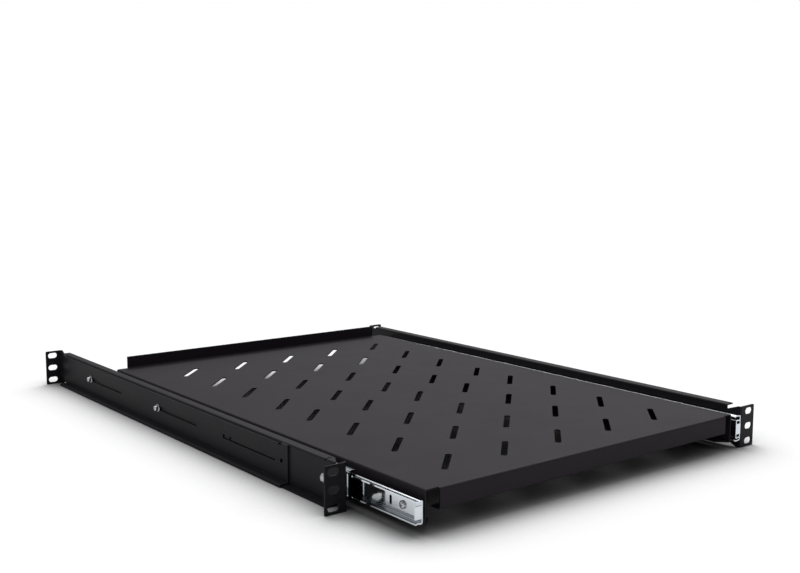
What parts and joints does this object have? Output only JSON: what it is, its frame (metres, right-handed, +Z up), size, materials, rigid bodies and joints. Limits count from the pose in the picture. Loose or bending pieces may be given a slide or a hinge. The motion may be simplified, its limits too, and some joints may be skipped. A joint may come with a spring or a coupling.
{
  "type": "sliding rack tray",
  "caption": "Perforated sheet-metal rack tray on ball-bearing slides, in depth-adjustable rails with slotted mounting ears at both ends.",
  "frame": {"origin": "on the surface it stands on, in the middle of the width and of the whole depth as stored", "axes": "+X to the right as seen from the front, +Y to the rear, +Z up"},
  "size_m": [0.4826, 0.7416, 0.0521],
  "materials": {
    "tray_paint": "satin black powder coat",
    "rail_paint": "satin black powder coat",
    "slide_steel": "bright zinc plating",
    "ball_steel": "polished",
    "fixing_steel": "bright zinc plating"
  },
  "bodies": {
    "tray": {"tray": "tray_paint", "left_inner_slide": "slide_steel", "left_spacers": "fixing_steel", "left_tray_screws": "fixing_steel", "left_nuts": "fixing_steel", "right_inner_slide": "slide_steel", "right_spacers": "fixing_steel", "right_tray_screws": "fixing_steel", "right_nuts": "fixing_steel"},
    "left_rail": {"left_front_bracket": "rail_paint", "left_outer_slide": "slide_steel", "left_front_screw": "fixing_steel", "left_clamp_screws": "fixing_steel"},
    "left_rear": {"left_rear_bracket": "rail_paint"},
    "left_cage": {"left_ball_cage": "slide_steel", "left_balls": "ball_steel"},
    "right_rail": {"right_front_bracket": "rail_paint", "right_outer_slide": "slide_steel", "right_front_screw": "fixing_steel", "right_clamp_screws": "fixing_steel"},
    "right_rear": {"right_rear_bracket": "rail_paint"},
    "right_cage": {"right_ball_cage": "slide_steel", "right_balls": "ball_steel"}
  },
  "joints": [
    {"name": "left_slide", "type": "slide", "parent": "tray", "child": "left_rail", "axis": [0, 1, 0], "range_m": [-0.088, 0.352]},
    {"name": "right_slide", "type": "slide", "parent": "tray", "child": "right_rail", "axis": [0, 1, 0], "range_m": [0, 0.44]},
    {"name": "left_cage_roll", "type": "slide", "parent": "tray", "child": "left_cage", "axis": [0, 1, 0], "range_m": [-0.044, 0.176]},
    {"name": "right_cage_roll", "type": "slide", "parent": "tray", "child": "right_cage", "axis": [0, 1, 0], "range_m": [0, 0.22]},
    {"name": "left_depth_setting", "type": "slide", "parent": "left_rail", "child": "left_rear", "axis": [0, 1, 0], "range_m": [0, 0.088]},
    {"name": "right_depth_setting", "type": "slide", "parent": "right_rail", "child": "right_rear", "axis": [0, 1, 0], "range_m": [0, 0.088]}
  ],
  "couplings": [
    {"joint": "left_cage_roll", "follows": "left_slide", "ratio": 0.5},
    {"joint": "right_cage_roll", "follows": "right_slide", "ratio": 0.5}
  ]
}
